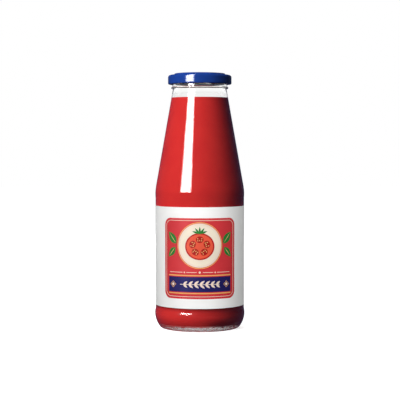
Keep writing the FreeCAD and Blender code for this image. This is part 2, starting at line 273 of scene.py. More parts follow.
def bottle_outside():
    """From the middle of the base up to the outer edge of the rim."""
    lean = math.degrees(heel_lean)
    dome = (bearing_inner**2 + push_up**2) / (2 * push_up)
    dome_angle = math.degrees(math.asin(bearing_inner / dome))
    crown = math.degrees(
        math.acos((wall_radius + panel_fillet - heel_radius + heel_crown) / (heel_crown + panel_fillet))
    )
    fillet_height = heel_height + (heel_crown + panel_fillet) * math.sin(math.radians(crown))
    shoulder_centre = (shoulder_radius - shoulder_round, shoulder_height)
    start = -math.degrees(math.acos((wall_radius - shoulder_centre[0]) / shoulder_round))
    shoulder_low = shoulder_height + shoulder_round * math.sin(math.radians(start))
    neck_top = (neck_radius, bead_height - bead_radius)
    taper = taper_angle(shoulder_centre, shoulder_round, neck_top)

    points = round_stretch((0, push_up - dome), dome, 90, 90 - dome_angle)
    points += straight_stretch((bearing_inner, 0), (bearing_outer, 0), 4)
    points += round_stretch((bearing_outer, heel_corner), heel_corner, -90, lean - 90, 8)
    points += round_stretch((heel_centre, heel_height), heel_round, lean - 90, 0, 20)
    points += round_stretch((heel_radius - heel_crown, heel_height), heel_crown, 0, crown, 8)
    points += round_stretch((wall_radius + panel_fillet, fillet_height), panel_fillet, 180 + crown, 180, 6)
    points += straight_stretch((wall_radius, fillet_height), (wall_radius, shoulder_low), 24)
    points += round_stretch(shoulder_centre, shoulder_round, start, taper, 14)
    points += straight_stretch(points[-1], neck_top, 24)
    points += [neck_top]
    points += round_stretch((collar_radius, bead_height), bead_radius, -90, 90, 12)
    points += straight_stretch(points[-1], (collar_radius, rim_height - lip_round), 8)
    points += round_stretch((collar_radius - lip_round, rim_height - lip_round), lip_round, 0, 90, 6)
    return points


def bottle_inside(spare=0.0):
    """From the middle of the floor up to the top of the taper, let into the wall by spare."""
    radius = cavity_radius + spare
    low = floor_height - spare
    middle = low + floor_rise
    corner = floor_corner + spare
    across, up = radius - corner, low + corner - middle
    floor = (across**2 + up**2 - corner**2) / (2 * (corner - up))
    lean = math.degrees(math.atan2(across, floor + up))
    shoulder_centre = (shoulder_radius - shoulder_round, shoulder_height)
    inner_round = shoulder_round - glass_wall + spare
    taper_top = (bore_radius + spare, bore_low)
    taper = taper_angle(shoulder_centre, inner_round, taper_top)

    points = round_stretch((0, middle - floor), floor, 90, 90 - lean)
    points += round_stretch((radius - corner, low + corner), corner, -90 - lean, 0, 16)
    points += straight_stretch(points[-1], (radius, shoulder_height), 24)
    points += round_stretch(shoulder_centre, inner_round, 0, taper, 8)
    points += straight_stretch(points[-1], taper_top, 24)
    points += [taper_top]
    return points


# %% Turn the glass
lip_inside = round_stretch(
    (bore_radius + lip_round, rim_height - lip_round), lip_round, 90, 180, 6
)
glass_outline = bottle_outside() + lip_inside
glass_outline += straight_stretch(lip_inside[-1], (bore_radius, bore_low), 8)
glass_outline += bottle_inside()[::-1]
bottle = turn("bottle", glass_outline)

# %% [markdown]
# ## Marks of the mould
# The ring that a bottle stands on is knurled, so that hot glass touches the belt only at
# small lands. Low down on the heel are a few raised dots, which tell the maker which mould
# it came from. Both are made from the turned faces themselves: they are inset and pushed in
# or out, so the skin stays closed and nothing has to be joined on.


# %% Knurl the base
def compass(middle):
    """Degrees round the axis from the front of the bottle, to its right."""
    return math.degrees(math.atan2(middle.x, -middle.y)) % 360


step_angle = 360 / turned_steps
knurl_outer = 35.2 * MM
knurl_land = 0.16 * MM
knurl_depth = 0.45 * MM


def on_knurl(middle):
    """Every second step of the ring and the start of the heel."""
    across = math.hypot(middle.x, middle.y)
    low_face = middle.z < 0.5 * MM and bearing_inner + 0.3 * MM < across < knurl_outer
    return low_face and int(compass(middle) / step_angle) % 2 == 0


picked = pick_faces(bottle, on_knurl)
bpy.ops.mesh.inset(thickness=knurl_land, depth=-knurl_depth, use_individual=False)
bpy.ops.object.mode_set(mode="OBJECT")
print(f"knurled {picked} faces of the base")

# %% Raise the mould dots
dot_places = [(-29.5, 9.3), (-23.9, 9.3), (-18.3, 9.3), (1.4, 9.3), (-20.2, 5.4)]
dot_dome = [(0.10, 0.24), (0.18, 0.14), (0.20, 0.05)]
for angle, height in dot_places:

    def on_dot(middle, angle=angle, height=height):
        """The two faces on top of each other nearest to the dot's place."""
        turned = (compass(middle) - angle + 180) % 360 - 180
        outside = math.hypot(middle.x, middle.y) > cavity_radius + 0.3 * MM
        level = abs(middle.z - height * MM) < 0.62 * MM
        return outside and level and abs(turned) < 0.5 * step_angle

    picked = pick_faces(bottle, on_dot)
    for rim, rise in dot_dome:
        bpy.ops.mesh.inset(thickness=rim * MM, depth=rise * MM, use_individual=False)
    bpy.ops.object.mode_set(mode="OBJECT")
    print(f"dot at {angle} degrees from {picked} faces")

# %% [markdown]
# ## Thread
# Four short threads run under the lid, each 80 degrees round and a little uphill.
# One section is spun level, then every point is lifted by how far round it lies, and the
# ends are drawn down into the collar as in a mould. Copies are turned to their places, and
# a boolean union makes them one skin with the glass.

# %% Model one thread
thread_reach = 1.5 * MM
thread_sink = 0.4 * MM
thread_turn = 80
thread_start = 55
thread_rise = 4.0 * MM
thread_low = rim_height - 7.0 * MM
thread_steps = 40
thread_section = [
    (collar_radius - thread_sink, thread_low - 0.9 * MM),
    (collar_radius, thread_low - 0.78 * MM),
    (collar_radius + 0.6 * thread_reach, thread_low - 0.56 * MM),
    (collar_radius + 0.93 * thread_reach, thread_low - 0.36 * MM),
    (collar_radius + thread_reach, thread_low - 0.12 * MM),
    (collar_radius + thread_reach, thread_low + 0.12 * MM),
    (collar_radius + 0.93 * thread_reach, thread_low + 0.36 * MM),
    (collar_radius + 0.6 * thread_reach, thread_low + 0.56 * MM),
    (collar_radius, thread_low + 0.78 * MM),
    (collar_radius - thread_sink, thread_low + 0.9 * MM),
]
thread = draw_outline("thread", thread_section, closed=True)
bpy.ops.mesh.spin(
    steps=thread_steps, angle=math.radians(-thread_turn), center=(0, 0, 0), axis=(0, 0, 1)
)
tidy_mesh()
end = max(thread.data.vertices, key=lambda vertex: abs(vertex.co.y)).co
print(f"the thread ends {math.degrees(math.atan2(end.y, end.x)):.0f} degrees round")

# %% Lift it and draw its ends into the collar
for vertex in thread.data.vertices:
    across = math.hypot(vertex.co.x, vertex.co.y)
    share = math.degrees(math.atan2(vertex.co.y, vertex.co.x)) / thread_turn
    fade = min(1.0, max(0.0, min(share, 1 - share)) / 0.14 + 0.08)
    lowered = collar_radius - thread_sink + (across - collar_radius + thread_sink) * fade**0.5
    vertex.co.x *= lowered / across
    vertex.co.y *= lowered / across
    vertex.co.z += thread_rise * share

# %% Set four of them round the collar
threads = []
for number in range(4):
    one = thread.copy()
    one.data = thread.data.copy()
    bpy.context.scene.collection.objects.link(one)
    take(one)
    one.rotation_euler = (0, 0, math.radians(thread_start + 90 * number))
    bpy.ops.object.transform_apply(rotation=True)
    threads.append(one)
take(*threads)
bpy.ops.object.join()
all_threads = threads[0]
apply_modifier(bottle, "BOOLEAN", object=all_threads, operation="UNION", solver="EXACT")
for spare in (thread, all_threads):
    bpy.data.objects.remove(spare)
smooth(bottle, 50)
print(f"bottle with threads: {len(bottle.data.polygons)} faces")

# %% [markdown]
# ## Passata
# The passata fills the bottle to a little under the bead. In a picture, food that only
# touches the glass leaves a false gap of air, so the filling reaches just into the wall.
# At the top it creeps up the glass by half a millimetre, as any thick sauce does.


# %% Pour the passata
def cut_at_level(points, level, creep):
    """The outline up to a level, with a hollow edge, closed across to the axis."""
    kept = [point for point in points if point[1] < level]
    before, after = kept[-1], points[len(kept)]
    share = (level - before[1]) / (after[1] - before[1])
    edge = before[0] + share * (after[0] - before[0])
    hollow = round_stretch((edge - creep, level), creep, 0, -90, 6)
    surface = (0, level - creep)
    return kept + hollow + straight_stretch(hollow[-1], surface, 8) + [surface]


let_in = 0.15 * MM
passata = turn("passata_fill", cut_at_level(bottle_inside(let_in), fill_height, 0.5 * MM))

# %% [markdown]
# ## Paper label
# The label is one strip of coated paper, 0.09 mm thick, that goes round
# the straight wall and is glued over its own start at the back. It is made flat, as it
# leaves the press, and then rolled round the bottle. The print is made the same way, so a
# helper does the rolling: how far a point lies along the strip becomes its angle.

# %% Roll flat work round the bottle
paper_thickness = 0.09 * MM
paper_face = wall_radius + 0.10 * MM
label_height = label_high - label_low
half_round = math.pi * paper_face
overlap = 3.0 * MM
seam_run = 2.5 * MM
seam_lift = 1.2 * paper_thickness


def roll(piece):
    """Wraps flat work round the wall; the front of the label faces the front."""
    for vertex in piece.data.vertices:
        along, lift, height = vertex.co.x, -vertex.co.y, vertex.co.z
        rise = max(0.0, min(1.0, (along - half_round + seam_run) / seam_run))
        across = paper_face + lift + rise * seam_lift
        angle = along / paper_face
        vertex.co = (across * math.sin(angle), -across * math.cos(angle), height)


def close_sheet(piece, thickness):
    """Gives a rolled sheet its thickness, towards the bottle."""
    take(piece)
    bpy.ops.object.mode_set(mode="EDIT")
    shape = bmesh.from_edit_mesh(piece.data)
    for face in shape.faces:
        middle = face.calc_center_median()
        if face.normal.x * middle.x + face.normal.y * middle.y < 0:
            face.normal_flip()
    bmesh.update_edit_mesh(piece.data)
    bpy.ops.object.mode_set(mode="OBJECT")
    apply_modifier(piece, "SOLIDIFY", thickness=thickness, offset=-1)
    smooth(piece)


# %% Cut and wrap the paper
clear_selection()
bpy.ops.mesh.primitive_grid_add(x_subdivisions=208, y_subdivisions=16, size=1)
paper = bpy.context.object
paper.name = "paper_label"
paper.scale = (2 * half_round + overlap, label_height, 1)
paper.rotation_euler = (math.radians(90), 0, 0)
paper.location = (overlap / 2, 0, (label_low + label_high) / 2)
bpy.ops.object.transform_apply(location=True, rotation=True, scale=True)
roll(paper)
close_sheet(paper, paper_thickness)
print(f"label {label_height / MM:.1f} mm high, strip {(2 * half_round + overlap) / MM:.1f} mm long")

# %% [markdown]
# ## Print
# The artwork is a plain one of flat inks, with no words: a red ground, a round picture of
# a cut tomato between basil leaves, and a blue band with a sprig. Each shape is a flat
# primitive, given its outline in edit mode. Inks lie over each other by a few hundredths of
# a millimetre. Every ink's shapes are joined, cut into narrow upright strips so that they
# can bend, and rolled like the paper. While drawing, places are millimetres across from the
# middle of the label and up from its lower edge.

# %% Draw flat shapes
ink_step = 0.02 * MM
strip_width = 1.5 * MM


def place_shape(x, z, layer, tilt=0.0):
    """Stands the new shape up, tilts it and puts it on its layer of ink."""
    piece = bpy.context.object
    piece.rotation_euler = (math.radians(90), math.radians(tilt), 0)
    piece.location = (x * MM, -layer * ink_step, label_low + z * MM)
    bpy.ops.object.transform_apply(location=True, rotation=True, scale=True)
    return piece


def disc(x, z, radius, layer, sides=72, stretch=1.0, tilt=0.0):
    """A filled round or, stretched, an oval."""
    clear_selection()
    bpy.ops.mesh.primitive_circle_add(vertices=sides, radius=radius * MM, fill_type="NGON")
    bpy.context.object.scale = (stretch, 1, 1)
    return place_shape(x, z, layer, tilt)


def bar(x, z, width, height, layer, corner=0.0, tilt=0.0):
    """A filled rectangle, its corners rounded if asked."""
    clear_selection()
    bpy.ops.mesh.primitive_plane_add(size=1 * MM)
    piece = bpy.context.object
    piece.scale = (width, height, 1)
    bpy.ops.object.transform_apply(scale=True)
    if corner:
        bpy.ops.object.mode_set(mode="EDIT")
        bpy.ops.mesh.bevel(offset=corner * MM, segments=12, affect="VERTICES")
        bpy.ops.object.mode_set(mode="OBJECT")
    return place_shape(x, z, layer, tilt)


def hollow_out(piece, line):
    """Leaves only a line of ink round the edge of a shape."""
    take(piece)
    bpy.ops.object.mode_set(mode="EDIT")
    bpy.ops.mesh.select_all(action="SELECT")
    bpy.ops.mesh.inset(thickness=line * MM)
    bpy.ops.mesh.delete(type="FACE")
    bpy.ops.object.mode_set(mode="OBJECT")
    return piece


def leaf(x, z, length, width, layer, tilt=0.0):
    """A leaf with two pointed ends, fuller towards its stalk."""
    clear_selection()
    bpy.ops.mesh.primitive_circle_add(vertices=40, radius=1, fill_type="NGON")
    for vertex in bpy.context.object.data.vertices:
        along = vertex.co.x
        side = math.copysign(1, vertex.co.y)
        fullness = math.cos(along * math.pi / 2) ** 0.8 * (1 - 0.25 * along)
        vertex.co.y = side * max(0.0, fullness) * width * MM / 2
        vertex.co.x = along * length * MM / 2
    return place_shape(x, z, layer, tilt)


def print_ink(name, shapes):
    """One ink: joined, cut into strips, rolled round the bottle and closed."""
    piece = take(*shapes)
    bpy.ops.object.join()
    piece.name = name
    widest = max(abs(vertex.co.x) for vertex in piece.data.vertices)
    cuts = int(widest / strip_width)
    bpy.ops.object.mode_set(mode="EDIT")
    for number in range(-cuts, cuts + 1):
        bpy.ops.mesh.select_all(action="SELECT")
        bpy.ops.mesh.bisect(plane_co=(number * strip_width, 0, 0), plane_no=(1, 0, 0))
    bpy.ops.object.mode_set(mode="OBJECT")
    roll(piece)
    close_sheet(piece, 0.8 * ink_step)
    print(f"{name}: {len(piece.data.polygons)} faces")
    return piece


# %% Red, blue and cream
picture_height = 54.5
picture_radius = 19.0
band_height = 21.0
rule_height = 31.4
tomato_height = picture_height - 0.8
tomato_stretch = 1.1
red_shapes = [bar(0, 43.2, 68, 69.5, 1, corner=6.5)]
blue_shapes = [bar(0, band_height, 58, 13, 2)]
cream_shapes = [
    hollow_out(bar(0, 43.2, 64.4, 65.9, 2, corner=5.2), 0.45),
    hollow_out(disc(0, picture_height, picture_radius, 3, sides=96), 1.7),
]
for side in (-1, 1):
    cream_shapes.append(disc(side * 13.5, rule_height, 0.75, 3, sides=4))
    cream_shapes.append(bar(side * 21.5, rule_height, 12.5, 0.45, 3))
    cream_shapes.append(bar(side * 7.2, rule_height, 9.0, 0.45, 3))
cream_shapes.append(disc(0, rule_height, 1.1, 3, sides=4))

# %% The sprig on the band
cream_shapes.append(bar(0, band_height, 35, 0.5, 3, corner=0.2))
for number in range(7):
    for side in (-1, 1):
        x = -14.4 + 4.8 * number
        size = 5.4 - 0.3 * abs(number - 3)
        tilt = -side * 38
        middle = (x + 0.39 * size, band_height + side * 0.31 * size)
        cream_shapes.append(leaf(*middle, size, 1.9, 4, tilt=tilt))
for side in (-1, 1):
    cream_shapes.append(disc(side * 24.3, band_height, 1.5, 3, sides=4))

# %% Gold lines
gold_shapes = [
    bar(0, band_height + 7.7, 58, 0.9, 2),
    bar(0, band_height - 7.7, 58, 0.9, 2),
    hollow_out(disc(0, picture_height, picture_radius + 1.0, 2, sides=96), 0.6),
]
for side in (-1, 1):
    gold_shapes.append(hollow_out(disc(side * 24.3, band_height, 2.9, 3, sides=4), 0.4))

# %% The cut tomato and its leaves
ground_shapes = [disc(0, picture_height, picture_radius - 1.7, 2, sides=96)]
skin_shapes = [disc(0, tomato_height, 11.6, 4, stretch=tomato_stretch, sides=96)]
flesh_shapes = [disc(0, tomato_height, 10.5, 5, stretch=tomato_stretch, sides=96)]
jelly_shapes = []
seed_shapes = []
for number in range(5):
    angle = 90 + 72 * number
    out = math.radians(angle)
    x = 5.9 * math.cos(out) * tomato_stretch
    z = tomato_height + 5.9 * math.sin(out)
    jelly_shapes.append(disc(x, z, 2.8, 6, sides=32, stretch=1.15, tilt=-angle - 90))
    for step, away in ((-13, 6.9), (0, 5.1), (13, 6.9), (-17, 5.2), (17, 5.2)):
        lean = math.radians(angle + step)
        seed_x = away * math.cos(lean) * tomato_stretch
        seed_z = tomato_height + away * math.sin(lean)
        seed_shapes.append(disc(seed_x, seed_z, 0.36, 7, sides=12, stretch=1.6, tilt=-angle))
green_shapes = []
vein_shapes = []
for side in (-1, 1):
    for x, z, length, width, points in ((25.2, 61.0, 12.5, 6.4, 52), (25.8, 48.5, 11, 5.4, -50)):
        tilt = -points if side > 0 else points - 180
        green_shapes.append(leaf(side * x, z, length, width, 2, tilt=tilt))
        vein_shapes.append(leaf(side * x, z, length * 0.86, 0.5, 3, tilt=tilt))
for number in range(5):
    angle = 18 + 36 * number
    out = math.radians(angle)
    x, z = 3.6 * math.cos(out), picture_height + 10.6 + 2.3 * math.sin(out)
    green_shapes.append(leaf(x, z, 6.4, 1.7, 6, tilt=-angle))

# %% Print the inks
ink_shapes = {
    "print_red": red_shapes,
    "print_blue": blue_shapes,
    "print_cream": cream_shapes,
    "print_gold": gold_shapes,
    "print_ground": ground_shapes,
    "print_skin": skin_shapes,
    "print_flesh": flesh_shapes,
    "print_jelly": jelly_shapes,
    "print_seed": seed_shapes + vein_shapes,
    "print_green": green_shapes,
}
inks = {name: print_ink(name, shapes) for name, shapes in ink_shapes.items()}

# %% [markdown]
# ## Lid
# A twist-off lid is pressed from one sheet: a raised panel, a flat ring, a round corner and
# a skirt whose edge is curled inwards. At four places the curl is pressed flat into a lug
# that grips under a thread. The sheet is turned whole, and the lugs are pulled from it. The
# raised panel's wall leans inwards here, so it mirrors no lamp.

# %% Turn the lid
sheet = 0.3 * MM
curl = 0.9 * MM
lid_corner = 2.2 * MM
panel_radius = collar_radius - 1.2 * MM
panel_round = 0.6 * MM
button_radius = 15.5 * MM
lid_shoulder = rim_height + sheet
curl_height = lid_low + curl
opening = math.degrees(math.acos(1 - sheet / curl))
panel_lean = 35
lean = math.radians(panel_lean)
panel_wall = lid_high - lid_shoulder - panel_round + panel_round * math.sin(lean)
panel_edge = (
    panel_radius - panel_round * math.cos(lean) - panel_wall * math.tan(lean),
    lid_high - panel_round,
)
skirt_turn = (skirt_radius - lid_corner, lid_shoulder - lid_corner)
lid_outline = [(0, lid_high)]
lid_outline += straight_stretch((0, lid_high), (button_radius - 0.8 * MM, lid_high), 8)
lid_outline += [
    (button_radius - 0.8 * MM, lid_high),
    (button_radius - 0.3 * MM, lid_high - 0.02 * MM),
    (button_radius + 0.3 * MM, lid_high - 0.09 * MM),
    (button_radius + 0.9 * MM, lid_high - 0.15 * MM),
    (button_radius + 1.4 * MM, lid_high - 0.15 * MM),
    (button_radius + 2.0 * MM, lid_high - 0.09 * MM),
    (button_radius + 2.6 * MM, lid_high - 0.02 * MM),
    (button_radius + 3.1 * MM, lid_high),
]
lid_outline += straight_stretch(lid_outline[-1], (panel_edge[0], lid_high), 4)
lid_outline += round_stretch(panel_edge, panel_round, 90, panel_lean, 8)
lid_outline += [(panel_radius, lid_shoulder)]
lid_outline += straight_stretch(
    (panel_radius, lid_shoulder), (skirt_radius - lid_corner, lid_shoulder), 4
)
lid_outline += round_stretch(skirt_turn, lid_corner, 90, 0, 12)
lid_outline += straight_stretch(lid_outline[-1], (skirt_radius, curl_height), 6)
lid_outline += round_stretch((skirt_radius - curl, curl_height), curl, 0, opening - 360, 24)
lid_outline += round_stretch(skirt_turn, lid_corner - sheet, 0, 90, 8)
lid_outline += [(panel_radius - sheet, rim_height)]
lid_outline += round_stretch(panel_edge, panel_round - sheet, panel_lean, 90, 4)
lid_outline += [(0, lid_high - 0.75 * MM)]
lid = turn("twist_off_lid", lid_outline)

# %% Press the lugs
lug_inner = collar_radius + 0.3 * MM
lug_turn = 40
lug_half_width = 8.3
for number in range(4):
    place = (thread_start + lug_turn + 90 * number + 90) % 360

    def on_lug(middle, place=place):
        """The inner side of the curl over the width of a lug."""
        turned = (compass(middle) - place + 180) % 360 - 180
        inner = math.hypot(middle.x, middle.y) < skirt_radius - curl - 0.25 * MM
        low_face = middle.z < curl_height + 0.6 * curl
        return inner and low_face and abs(turned) < lug_half_width

    picked = pick_faces(lid, on_lug)
    out = math.radians(place)
    pull = skirt_radius - 2 * curl - lug_inner
    step = (-pull * math.sin(out), pull * math.cos(out), 0)
    bpy.ops.mesh.extrude_region_move(TRANSFORM_OT_translate={"value": step})
    bpy.ops.transform.resize(value=(1, 1, 0.75), orient_type="GLOBAL")
    bpy.ops.object.mode_set(mode="OBJECT")
    print(f"lug at {place} degrees from {picked} faces")
smooth(lid)

# %% [markdown]
# ## Finishes
# Each finish starts from what the real one is, and its small variation comes from noise in
# object coordinates, sized in millimetres. One helper adds a node with its settings and
# links; another turns a printer's or painter's colour code into the linear colour that a
# shader needs.


# %% Helpers for finishes
def hex_colour(code):
    """A maker's colour code as a linear colour."""
    values = [int(code[at : at + 2], 16) / 255 for at in (1, 3, 5)]
    linear = [v / 12.92 if v <= 0.04045 else ((v + 0.055) / 1.055) ** 2.4 for v in values]
    return (*linear, 1.0)


def finish(name):
    """A new material and its surface shader."""
    material = bpy.data.materials.new(name)
    material.use_nodes = True
    surface = material.node_tree.nodes["Principled BSDF"]
    return material, surface


def add_node(tree, kind, settings=None, links=None):
    """One node with its settings, its ramp stops and the links into it."""
    node = tree.nodes.new("ShaderNode" + kind)
    for name, value in (settings or {}).items():
        if name == "stops":
            for element, (position, colour) in zip(node.color_ramp.elements, value):
                element.position = position
                element.color = colour
        elif isinstance(name, int) or name in node.inputs:
            node.inputs[name].default_value = value
        else:
            setattr(node, name, value)
    for socket, source in (links or {}).items():
        tree.links.new(source, node.inputs[socket])
    return node


def wear(piece, *materials):
    """The piece's finishes, in the order of its slots."""
    piece.data.materials.clear()
    for material in materials:
        piece.data.materials.append(material)


# %% [markdown]
# ## Flint glass
# Container glass is clear with a breath of green, IOR 1.52 and fire polished, so roughness
# is nothing but on the bulge of the heel, where a slight haze softens a small highlight.
# Blown glass is never quite flat: it has a soft ripple of a fiftieth of a millimetre, and a
# fine ridge at each side where the two halves of the mould met. Round the base the mould is
# stippled, which breaks up the light.

# %% Finish the glass
glass, surface = finish("flint_glass")
surface.inputs["Base Color"].default_value = hex_colour("#FDFFFE")
surface.inputs["Transmission Weight"].default_value = 1
surface.inputs["IOR"].default_value = 1.52
tree = glass.node_tree
place = add_node(tree, "TexCoord").outputs["Object"]
ripple_size = 11 * MM
ripple_depth = 0.02 * MM
seam_width = 0.35 * MM
seam_ridge = 0.06 * MM
ripple = add_node(
    tree, "TexNoise", {"Scale": 1 / ripple_size, "Detail": 1.0, "Roughness": 0.4}, {"Vector": place}
)
apart = add_node(tree, "SeparateXYZ", links={0: place})
from_seam = add_node(tree, "Math", {"operation": "ABSOLUTE"}, {0: apart.outputs["Y"]})
seam = add_node(
    tree, "MapRange",
    {"From Min": 0.0, "From Max": seam_width, "To Min": seam_ridge, "To Max": 0.0,
     "interpolation_type": "SMOOTHSTEP"},
    {"Value": from_seam.outputs[0]},
)
height = add_node(
    tree, "Math", {"operation": "MULTIPLY_ADD", 1: ripple_depth},
    {0: ripple.outputs[0], 2: seam.outputs[0]},
)
stipple_size = 1.5 * MM
stipple_depth = 0.9 * MM
stipple = add_node(tree, "TexNoise", {"Scale": 1 / stipple_size, "Detail": 1.0}, {"Vector": place})
near_base = add_node(
    tree, "MapRange",
    {"From Min": 1.5 * MM, "From Max": 5.0 * MM, "To Min": stipple_depth, "To Max": 0.0},
    {"Value": apart.outputs["Z"]},
)
whole = add_node(
    tree, "Math", {"operation": "MULTIPLY_ADD"},
    {0: stipple.outputs[0], 1: near_base.outputs[0], 2: height.outputs[0]},
)
bump = add_node(tree, "Bump", {"Strength": 1.0, "Distance": 1.0}, {"Height": whole.outputs[0]})
tree.links.new(bump.outputs[0], surface.inputs["Normal"])
haze_middle = 14 * MM
above = add_node(tree, "Math", {"operation": "SUBTRACT", 1: haze_middle}, {0: apart.outputs["Z"]})
from_crown = add_node(tree, "Math", {"operation": "ABSOLUTE"}, {0: above.outputs[0]})
haze = add_node(
    tree, "MapRange",
    {"From Min": 3 * MM, "From Max": 5 * MM, "To Min": 0.14, "To Max": 0.0},
    {"Value": from_crown.outputs[0]},
)
tree.links.new(haze.outputs[0], surface.inputs["Roughness"])
wear(bottle, glass)

# %% [markdown]
# ## Sieved tomato
# Passata is a smooth pulp: deep red with finer and paler bits of a millimetre or two, and
# soft clouds where it settled. Against glass it has no gloss of its own, because wet pulp
# and glass bend light almost alike, so its specular level is nothing there. Only the flat
# floor is seen at such a low angle, from within the thick glass, that it mirrors the table.

# %% Finish the passata
sauce, surface = finish("sieved_tomato")
surface.inputs["Roughness"].default_value = 0.45
surface.inputs["Specular IOR Level"].default_value = 0.0
tree = sauce.node_tree
place = add_node(tree, "TexCoord").outputs["Object"]
pulp_size = 1.4 * MM
cloud_size = 22 * MM
pulp = add_node(tree, "TexNoise", {"Scale": 1 / pulp_size, "Detail": 3.0}, {"Vector": place})
cloud = add_node(tree, "TexNoise", {"Scale": 1 / cloud_size, "Detail": 2.0}, {"Vector": place})
mix = add_node(
    tree, "Math", {"operation": "MULTIPLY_ADD", 1: 0.45}, {0: pulp.outputs[0], 2: cloud.outputs[0]}
)
tomato = add_node(
    tree, "ValToRGB",
    {"stops": [(0.3, hex_colour("#D42A2A")), (1.1, hex_colour("#E23630"))]},
    {0: mix.outputs[0]},
)
tree.links.new(tomato.outputs[0], surface.inputs["Base Color"])
bump = add_node(tree, "Bump", {"Strength": 0.5, "Distance": 0.1 * MM}, {"Height": pulp.outputs[0]})
tree.links.new(bump.outputs[0], surface.inputs["Normal"])
mirror, surface = finish("sauce_on_glass_floor")
surface.inputs["Roughness"].default_value = 0.05
surface.inputs["IOR"].default_value = 3.0
tree = mirror.node_tree
place = add_node(tree, "TexCoord").outputs["Object"]
pulp = add_node(tree, "TexNoise", {"Scale": 1 / pulp_size, "Detail": 3.0}, {"Vector": place})
tomato = add_node(
    tree, "ValToRGB",
    {"stops": [(0.3, hex_colour("#D82B24")), (0.7, hex_colour("#E4372C"))]},
    {0: pulp.outputs[0]},
)
tree.links.new(tomato.outputs[0], surface.inputs["Base Color"])
wear(passata, sauce, mirror)
for face in passata.data.polygons:
    if face.normal.z < -0.9 and face.center.z < floor_height + floor_corner:
        face.material_index = 1


# %% [markdown]
# ## Coated paper and inks
# Label paper is coated white on its face, with a faint tooth from its fibres. Offset inks
# lie on it nearly smooth; each varies a little where more or less ink was laid down. They
# share one recipe with their own colour, and print and paper differ in gloss.

# %% Finish the label
def paper_finish(name, code, variation, roughness, tooth):
    """Paper or ink: a colour that drifts a little, over a faint tooth."""
    material, surface = finish(name)
    tree = material.node_tree
    surface.inputs["Roughness"].default_value = roughness
    surface.inputs["Specular IOR Level"].default_value = 0.1
    place = add_node(tree, "TexCoord").outputs["Object"]
    fibre_size = 0.7 * MM
    fibre = add_node(tree, "TexNoise", {"Scale": 1 / fibre_size, "Detail": 4.0}, {"Vector": place})
    drift = add_node(tree, "TexNoise", {"Scale": 1 / (14 * MM), "Detail": 2.0}, {"Vector": place})
    amount = add_node(
        tree, "Math", {"operation": "MULTIPLY_ADD", 1: 0.4},
        {0: fibre.outputs[0], 2: drift.outputs[0]},
    )
    full = hex_colour(code)
    thin = tuple(min(1.0, part * (1 - variation)) for part in full[:3]) + (1.0,)
    colour = add_node(
        tree, "ValToRGB", {"stops": [(0.45, thin), (0.9, full)]}, {0: amount.outputs[0]}
    )
    tree.links.new(colour.outputs[0], surface.inputs["Base Color"])
    bump = add_node(
        tree, "Bump", {"Strength": 0.6, "Distance": tooth * MM}, {"Height": fibre.outputs[0]}
    )
    tree.links.new(bump.outputs[0], surface.inputs["Normal"])
    return material


wear(paper, paper_finish("coated_paper", "#FAFAF8", 0.03, 0.5, 0.02))
ink_colours = {
    "print_red": "#D2393F",
    "print_blue": "#211F5C",
    "print_cream": "#EFDCCB",
    "print_gold": "#F0B468",
    "print_ground": "#F3E6D2",
    "print_skin": "#B81E22",
    "print_flesh": "#E5583F",
    "print_jelly": "#A91F1C",
    "print_seed": "#EDC47C",
    "print_green": "#2B7A36",
}
for name, code in ink_colours.items():
    wear(inks[name], paper_finish(name.replace("print", "ink"), code, 0.08, 0.42, 0.008))
print(f"{len(ink_colours)} inks on the label")

# %% [markdown]
# ## Enamelled tinplate
# The lid is tinplate, roller coated with blue enamel and stoved: glossy, with a very fine
# orange peel. Inside it has a pale lacquer that keeps food off the metal; here that lacquer
# is painted a darker grey, as painted shade for the closed inside of the lid.


# %% Finish the lid
def stoved_finish(name, code, deeper, roughness, peel_depth):
    """A stoved coat with a slightly uneven depth of colour and an orange peel."""
    material, surface = finish(name)
    tree = material.node_tree
    surface.inputs["Roughness"].default_value = roughness
    surface.inputs["IOR"].default_value = 1.5
    place = add_node(tree, "TexCoord").outputs["Object"]
    peel_size = 1.8 * MM
    peel = add_node(tree, "TexNoise", {"Scale": 1 / peel_size, "Detail": 1.0}, {"Vector": place})
    coat = add_node(tree, "TexNoise", {"Scale": 1 / (9 * MM), "Detail": 2.0}, {"Vector": place})
    colour = add_node(
        tree, "ValToRGB",
        {"stops": [(0.3, hex_colour(deeper)), (0.7, hex_colour(code))]}, {0: coat.outputs[0]},
    )
    tree.links.new(colour.outputs[0], surface.inputs["Base Color"])
    bump = add_node(
        tree, "Bump", {"Strength": 1.0, "Distance": peel_depth * MM}, {"Height": peel.outputs[0]}
    )
    tree.links.new(bump.outputs[0], surface.inputs["Normal"])
    return material


enamel = stoved_finish("blue_enamel", "#1F46A0", "#1D4195", 0.1, 0.0012)
# The inside's grey is painted shade: darker than the pale lacquer, for the shaded inside of the lid.
lacquer_and_shade = stoved_finish("food_lacquer_painted_shade", "#8F8581", "#857B78", 0.35, 0.004)
wear(lid, enamel, lacquer_and_shade)
inside_faces = 0
for face in lid.data.polygons:
    middle, normal = face.center, face.normal
    inward = normal.x * middle.x + normal.y * middle.y < 0 or normal.z < -0.3
    within = middle.z > curl_height + curl and math.hypot(middle.x, middle.y) < skirt_radius - 0.15 * MM
    if inward and within and middle.z < lid_high - 0.15 * MM:
        face.material_index = 1
        inside_faces += 1
print(f"lacquer on {inside_faces} faces inside the lid")

# %% [markdown]
# ## Studio
# One tall softbox stands to the left in front, and a second one behind the bottle for the
# back. The floor and the backdrop are white to the lens and through the glass, while dark
# walls stand in for the unlit room in the reflections, so the right side falls off.
# A box this large lights a round body softly; its mirror image in glass and enamel is
# brighter, so a card in nearly the same place, dimmer towards its sides, is what
# reflections see. A small fill keeps the paper readable where it turns away from the
# softbox, and a tiny lamp at the base gives the sauce the light that comes off the table.

